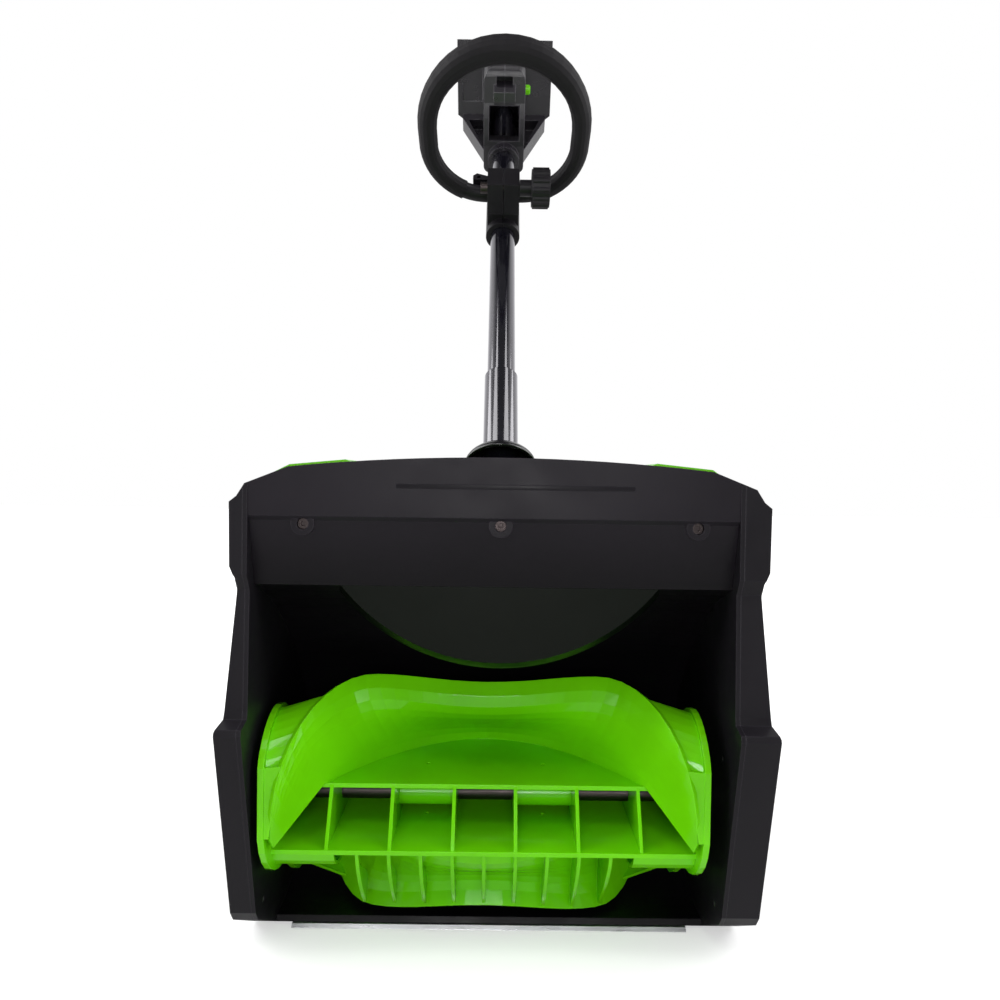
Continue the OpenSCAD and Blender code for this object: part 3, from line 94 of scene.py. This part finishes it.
def softbox(name, place, aim, size, watts):
    """A rectangular lamp that faces its aim."""
    data = bpy.data.lights.new(name, "AREA")
    data.shape = "RECTANGLE"
    data.size, data.size_y = size
    data.energy = watts
    lamp = bpy.data.objects.new(name, data)
    bpy.context.collection.objects.link(lamp)
    lamp.location = place
    lamp.rotation_euler = (Vector(aim) - Vector(place)).to_track_quat("-Z", "Y").to_euler()


def make_world():
    """A white studio: full white behind the object, and a dim side behind the camera."""
    world = bpy.data.worlds.new("studio")
    bpy.context.scene.world = world
    world.use_nodes = True
    tree = world.node_tree

    def math_node(operation, *terms):
        made = tree.nodes.new("ShaderNodeMath")
        made.operation = operation
        for value, socket in zip(terms, made.inputs):
            if isinstance(value, float):
                socket.default_value = value
            else:
                tree.links.new(value, socket)
        return made.outputs[0]

    back = tree.nodes["Background"]
    back.inputs["Color"].default_value = WHITE
    rays = tree.nodes.new("ShaderNodeLightPath")
    split = tree.nodes.new("ShaderNodeSeparateXYZ")
    tree.links.new(tree.nodes.new("ShaderNodeTexCoord").outputs["Generated"], split.inputs[0])
    # The part of the room behind the camera, and the ceiling as shiny faces see it, are dim.
    away = map_range(tree, split.outputs["Y"], -0.95, -0.35, 0.0, 1.0, smooth=True)
    ceiling = map_range(tree, split.outputs["Z"], 0.62, 0.88, 1.0, 0.06, smooth=True)
    mirrored = math_node(
        "MAXIMUM", rays.outputs["Is Glossy Ray"], rays.outputs["Is Transmission Ray"])
    dim_diffuse, more_diffuse = 0.2, 0.2
    dim_shiny, more_shiny = 0.05, 0.85
    diffuse = math_node("MULTIPLY_ADD", away, more_diffuse, dim_diffuse)
    sides = math_node("MULTIPLY", away, ceiling)
    shiny = math_node("MULTIPLY_ADD", sides, more_shiny, dim_shiny)
    lit = tree.nodes.new("ShaderNodeMix")
    tree.links.new(mirrored, lit.inputs["Factor"])
    tree.links.new(diffuse, lit.inputs["A"])
    tree.links.new(shiny, lit.inputs["B"])
    tree.links.new(math_node("MAXIMUM", rays.outputs["Is Camera Ray"], lit.outputs["Result"]),
                   back.inputs["Strength"])


def make_stage():
    """A white floor that whitens out with distance and keeps the shadow."""
    bpy.ops.object.select_all(action="DESELECT")
    bpy.ops.mesh.primitive_plane_add(size=FLOOR_SIZE, location=(0, 0, 0))
    floor = bpy.context.object
    floor.name = "floor"
    paint = bpy.data.materials.new("floor_white")
    paint.use_nodes = True
    tree = paint.node_tree
    bsdf = tree.nodes["Principled BSDF"]
    bsdf.inputs["Base Color"].default_value = (0.6, 0.6, 0.6, 1)
    bsdf.inputs["Roughness"].default_value = 0.5
    bsdf.inputs["Specular IOR Level"].default_value = 0.1
    length = tree.nodes.new("ShaderNodeVectorMath")
    length.operation = "LENGTH"
    tree.links.new(tree.nodes.new("ShaderNodeTexCoord").outputs["Object"], length.inputs[0])
    glow = map_range(tree, length.outputs["Value"], 0.4, 1.6, 0.5, 1.0)
    rays = tree.nodes.new("ShaderNodeLightPath")
    lift = tree.nodes.new("ShaderNodeMath")
    lift.operation = "MULTIPLY"
    tree.links.new(rays.outputs["Is Camera Ray"], lift.inputs[0])
    tree.links.new(glow, lift.inputs[1])
    bsdf.inputs["Emission Color"].default_value = WHITE
    tree.links.new(lift.outputs[0], bsdf.inputs["Emission Strength"])
    floor.data.materials.append(paint)


bpy.context.scene.view_settings.view_transform = "Standard"
make_camera()
make_world()
make_stage()
softbox("overhead_left", (-1.25, -0.4, 1.75), (-0.1, 0.0, 0.2), (0.7, 1.5), 13)
softbox("overhead_right", (1.25, -0.4, 1.75), (0.1, 0.0, 0.2), (0.7, 1.5), 12)
for x in (-0.20, 0.02, 0.17):
    softbox("strip_%d" % (100 + 100 * x), (x, -2.0, 0.6), (0.2 * x, 0.0, 0.16), (0.08, 0.6), 4.5)
softbox("left_side", (-1.35, 0.15, 0.75), (0, 0.2, 0.55), (1.3, 1.5), 22)
softbox("right_side", (1.35, 0.1, 0.75), (0, 0.2, 0.55), (1.3, 1.5), 20)
softbox("front_high", (-0.4, -1.5, 2.3), (0, 0, 0.3), (0.9, 0.4), 9)


# ---------- finishes ----------

class Finish:
    """One material's node tree, with the few building steps that the finishes share."""

    def __init__(self, name, colour, roughness, metallic=0.0):
        self.material = bpy.data.materials.new(name)
        self.material.use_nodes = True
        self.tree = self.material.node_tree
        self.shader = self.tree.nodes["Principled BSDF"]
        self.shader.inputs["Metallic"].default_value = metallic
        self.colour = colour
        self.roughness = roughness
        self.place = self.tree.nodes.new("ShaderNodeTexCoord").outputs["Object"]

    def node(self, kind, **values):
        made = self.tree.nodes.new(kind)
        for key, value in values.items():
            made.inputs[key.replace("_", " ")].default_value = value
        return made

    def join(self, a, b):
        self.tree.links.new(a, b)

    def stretched(self, scale):
        """Object coordinates scaled by a different amount along each axis."""
        mapping = self.node("ShaderNodeMapping", Scale=scale)
        self.join(self.place, mapping.inputs["Vector"])
        return mapping.outputs["Vector"]

    def noise(self, scale, detail=3.0, source=None):
        made = self.node("ShaderNodeTexNoise", Scale=scale, Detail=detail)
        self.join(source or self.place, made.inputs["Vector"])
        return made.outputs["Fac"]

    def ranged(self, value, low, high, start=0.3, end=0.7):
        return map_range(self.tree, value, start, end, low, high)

    def edge(self, radius):
        """1 on sharp edges, 0 on open faces."""
        rounded = self.rounded(radius)
        flat = self.tree.nodes.new("ShaderNodeNewGeometry")
        dot = self.tree.nodes.new("ShaderNodeVectorMath")
        dot.operation = "DOT_PRODUCT"
        self.join(rounded, dot.inputs[0])
        self.join(flat.outputs["Normal"], dot.inputs[1])
        return self.ranged(dot.outputs["Value"], 1.0, 0.0, 0.80, 0.995)

    def mix(self, factor, a, b):
        made = self.tree.nodes.new("ShaderNodeMix")
        made.data_type = "RGBA"
        self.join(factor, made.inputs["Factor"])
        for value, socket in ((a, made.inputs[6]), (b, made.inputs[7])):
            if isinstance(value, tuple):
                socket.default_value = value + (1,)
            else:
                self.join(value, socket)
        return made.outputs[2]

    def bump(self, height, distance, strength=1.0, under=None):
        made = self.node("ShaderNodeBump", Distance=distance, Strength=strength)
        self.join(height, made.inputs["Height"])
        if under:
            self.join(under, made.inputs["Normal"])
        return made.outputs["Normal"]

    def rounded(self, radius):
        made = self.tree.nodes.new("ShaderNodeBevel")
        made.samples = 4
        made.inputs["Radius"].default_value = radius
        return made.outputs["Normal"]

    def set(self, socket, value):
        self.join(value, self.shader.inputs[socket])


def tinted(colour, factor):
    return tuple(min(1.0, c * factor) for c in colour)


def moulded(name, colour, roughness, grain, specular=0.5, edge_highlight_gain=1.8, edge_radius=0.0008):
    """Moulded plastic: slow random changes of tone, a fine grain and a painted edge highlight
    that makes sharp edges lighter.
    """
    f = Finish(name, colour, roughness)
    f.shader.inputs["Specular IOR Level"].default_value = specular
    clouds = f.ranged(f.noise(9.0, 4.0), 0.0, 1.0)
    body = f.mix(clouds, tinted(colour, 0.86), tinted(colour, 1.14))
    # Painted edge highlight: sharp edges are mixed towards a lighter copy of the colour.
    f.set("Base Color", f.mix(f.edge(edge_radius * 1.6), body, tinted(colour, edge_highlight_gain)))
    f.set("Roughness", f.ranged(f.noise(34.0, 5.0), roughness - 0.06, roughness + 0.07))
    fine = f.noise(1500.0, 2.0)
    f.set("Normal", f.bump(fine, grain, 0.6, f.rounded(edge_radius)))
    return f.material


def painted_shade_by_height(material, low, high, depth):
    """Painted shade: darken a moulding towards its hollow, where shade falls: full colour at
    high, less of it at low.
    """
    tree = material.node_tree
    shader = tree.nodes["Principled BSDF"]
    body = shader.inputs["Base Color"].links[0].from_socket
    split = tree.nodes.new("ShaderNodeSeparateXYZ")
    tree.links.new(tree.nodes["Texture Coordinate"].outputs["Object"], split.inputs[0])
    fade = map_range(tree, split.outputs["Z"], low, high, depth, 1.0, smooth=True)
    darker = tree.nodes.new("ShaderNodeVectorMath")
    darker.operation = "SCALE"
    tree.links.new(body, darker.inputs[0])
    tree.links.new(fade, darker.inputs["Scale"])
    tree.links.new(darker.outputs["Vector"], shader.inputs["Base Color"])
    return material


def metal(name, colour, roughness, scale):
    """Bare or plated metal with fine drawn lines along X and cloudy plating."""
    f = Finish(name, colour, roughness, 1.0)
    clouds = f.ranged(f.noise(26.0, 4.0), 0.0, 1.0)
    body = f.mix(clouds, tinted(colour, 0.82), tinted(colour, 1.1))
    f.set("Base Color", f.mix(f.edge(0.0008), body, tinted(colour, 1.35)))
    lines = f.noise(1.0, 3.0, f.stretched(scale))
    f.set("Roughness", f.ranged(lines, roughness - 0.1, roughness + 0.12))
    f.set("Normal", f.bump(lines, 0.00008, 0.5, f.rounded(0.0004)))
    return f.material


def lacquered(name, colour, roughness):
    """Gloss powder coat: a faint orange peel under a clear coat."""
    f = Finish(name, colour, roughness)
    f.shader.inputs["Coat Weight"].default_value = 1.0
    f.shader.inputs["Coat Roughness"].default_value = 0.05
    f.shader.inputs["Coat IOR"].default_value = 1.68
    f.shader.inputs["Coat Tint"].default_value = (0.93, 0.90, 1.0, 1)
    peel = f.noise(420.0, 2.0)
    clouds = f.ranged(f.noise(14.0), 0.0, 1.0)
    f.set("Base Color", f.mix(clouds, tinted(colour, 0.8), tinted(colour, 1.2)))
    f.set("Roughness", f.ranged(f.noise(60.0, 4.0), roughness - 0.05, roughness + 0.08))
    f.set("Normal", f.bump(peel, 0.00003, 0.5, f.rounded(0.0005)))
    return f.material


FINISHES = {
    # hood_black carries painted shade: its colour darkens downwards from the lip towards the
    # hollow under the hood.
    "hood_black": painted_shade_by_height(
        moulded("hood_black", (0.0135, 0.0115, 0.0150), 0.38, 0.00003, 0.12, 2.2),
        0.245, 0.315, 0.30),
    # Painted shade: the dome bay is coloured far darker than the housing, with a green cast that
    # is a painted reflection of the green auger.
    "bay_painted_shade": moulded("bay_painted_shade", (0.0016, 0.0030, 0.0012), 0.42, 0.00003, 0.10, 1.3),
    "boot_gloss": moulded("boot_gloss", (0.005, 0.0045, 0.006), 0.14, 0.00001, 0.5, 1.5),
    # handle_black's sharp edges are painted much lighter, as a painted edge highlight.
    "handle_black": moulded(
        "handle_black", (0.0115, 0.0100, 0.0132), 0.30, 0.00003, 0.5, 3.2, 0.0012),
    "housing_black": moulded("housing_black", (0.0092, 0.0080, 0.0104), 0.38, 0.00003, 0.15, 2.2),
    "grip_rubber": moulded("grip_rubber", (0.0080, 0.0070, 0.0086), 0.58, 0.00006, 0.15, 1.5),
    "auger_green": moulded("auger_green", (0.145, 0.62, 0.002), 0.16, 0.00001, 0.26, 1.2),
    "deck_green": moulded("deck_green", (0.12, 0.47, 0.002), 0.28, 0.00001, 0.26, 1.2),
    "tube_black": lacquered("tube_black", (0.004, 0.004, 0.006), 0.16),
    "knob_black": moulded("knob_black", (0.0080, 0.0070, 0.0090), 0.42, 0.00003, 0.18),
    "bare_steel": metal("bare_steel", (0.56, 0.56, 0.58), 0.34, (30, 900, 900)),
    "zinc_steel": metal("zinc_steel", (0.42, 0.42, 0.43), 0.38, (300, 300, 300)),
    "dark_steel": metal("dark_steel", (0.055, 0.045, 0.045), 0.42, (40, 700, 700)),
    "motor_silver": metal("motor_silver", (0.5, 0.5, 0.52), 0.45, (200, 200, 200)),
    "pulley_black": moulded("pulley_black", (0.02, 0.02, 0.02), 0.5, 0.00003),
    "belt_rubber": moulded("belt_rubber", (0.015, 0.015, 0.015), 0.7, 0.00005),
    "cell_wrap": moulded("cell_wrap", (0.06, 0.12, 0.3), 0.3, 0.00001),
    "terminal_brass": metal("terminal_brass", (0.72, 0.55, 0.25), 0.3, (300, 300, 300)),
}

# Nodes whose finish differs from the slot they share with others.
for name in ("auger_shaft", "lip_screws", "clamp_bolt"):
    SLOT_OF[name] = "dark_steel"
SLOT_OF["loop_tube"] = "knob_black"
SLOT_OF["hood_shell"] = "hood_black"
# dome_bay gets the colour of painted shade and a painted green reflection of the auger.
SLOT_OF["dome_bay"] = "bay_painted_shade"
for name in ("handle_left", "handle_right", "trigger", "grip_cap", "battery_dock"):
    SLOT_OF[name] = "handle_black"

SMOOTH_UNDER = math.radians(32)
for name, node in NODES.items():
    node.data.materials.clear()
    node.data.materials.append(FINISHES[SLOT_OF[name]])
    bpy.ops.object.select_all(action="DESELECT")
    node.select_set(True)
    bpy.context.view_layer.objects.active = node
    bpy.ops.object.shade_smooth_by_angle(angle=SMOOTH_UNDER)


# ---------- dressed pieces ----------

SHAFT_FOOT = Vector((0, 0.100, 0.3475))
SHAFT_LEAN = math.radians(56 - 90)      # the shaft climbs at 56 degrees
BOOT_SEAT = -0.014                      # the boot's rim, along the shaft from its foot
LIP_STEP_SIZE = (0.150, 0.0012, 0.0034)
LIP_STEP_SHIFT, LIP_STEP_INSET, LIP_STEP_HEIGHT = 0.009, 0.0004, 0.3190


def on_shaft(along):
    """The frame at a distance up the shaft: Z along the shaft, X across."""
    return Matrix.Translation(SHAFT_FOOT) @ Matrix.Rotation(SHAFT_LEAN, 4, "X") \
        @ Matrix.Translation((0, 0, along))


def finish_piece(piece, finish, smooth=35):
    """Give a piece its material and leave it at the origin with its place in its mesh."""
    bpy.ops.object.select_all(action="DESELECT")
    piece.select_set(True)
    bpy.context.view_layer.objects.active = piece
    for modifier in list(piece.modifiers):
        bpy.ops.object.modifier_apply(modifier=modifier.name)
    bpy.ops.object.transform_apply(location=True, rotation=True, scale=True)
    bpy.ops.object.shade_smooth_by_angle(angle=math.radians(smooth))
    piece.data.materials.clear()
    piece.data.materials.append(FINISHES[finish])


def turned(name, profile, sides=72):
    """A ring of edges drawn up through the radii and heights of a profile."""
    bpy.ops.object.select_all(action="DESELECT")
    radius, height = profile[0]
    bpy.ops.mesh.primitive_circle_add(vertices=sides, radius=radius, location=(0, 0, height))
    piece = bpy.context.object
    piece.name = name
    bpy.ops.object.mode_set(mode="EDIT")
    bpy.ops.mesh.select_all(action="SELECT")
    for next_radius, next_height in profile[1:]:
        rise = (0, 0, next_height - height)
        bpy.ops.mesh.extrude_edges_move(TRANSFORM_OT_translate={"value": rise})
        grow = next_radius / radius
        bpy.ops.transform.resize(value=(grow, grow, 1), center_override=(0, 0, next_height))
        radius, height = next_radius, next_height
    bpy.ops.object.mode_set(mode="OBJECT")
    return piece


def dress_boot():
    """The soft dome that seals the shaft to the deck."""
    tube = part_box("lower_tube")
    tube_radius = (tube[1][0] - tube[0][0]) / 2
    rim, crown = 0.0300, 0.0135
    profile = [(rim - 0.0030, 0.0), (rim - 0.0004, 0.0), (rim, 0.0010), (rim - 0.0004, 0.0026),
               (rim - 0.0018, 0.0050), (rim - 0.0044, 0.0077), (rim - 0.0074, 0.0099),
               (rim - 0.0104, 0.0115), (tube_radius + 0.0016, crown - 0.0008),
               (tube_radius + 0.0003, crown)]
    boot = turned("boot_dome", profile)
    wall = boot.modifiers.new("wall", "SOLIDIFY")
    wall.thickness = 0.0016
    wall.offset = -1
    boot.matrix_world = on_shaft(BOOT_SEAT) @ boot.matrix_world
    finish_piece(boot, "boot_gloss", 50)
    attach(boot, "base")
    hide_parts("shaft_boot")


def dress_lip():
    """A shallow step moulded along the lip band."""
    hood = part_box("hood_shell")
    front = hood[0][1]
    bpy.ops.object.select_all(action="DESELECT")
    place = (LIP_STEP_SHIFT, front + LIP_STEP_INSET, LIP_STEP_HEIGHT)
    bpy.ops.mesh.primitive_cube_add(size=1, location=place)
    step = bpy.context.object
    step.name = "lip_step"
    bpy.ops.object.mode_set(mode="EDIT")
    bpy.ops.mesh.select_all(action="SELECT")
    bpy.ops.transform.resize(value=LIP_STEP_SIZE)
    bpy.ops.mesh.bevel(offset=0.00045, segments=2)
    bpy.ops.object.mode_set(mode="OBJECT")
    finish_piece(step, "housing_black")
    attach(step, "base")


dress_boot()
dress_lip()
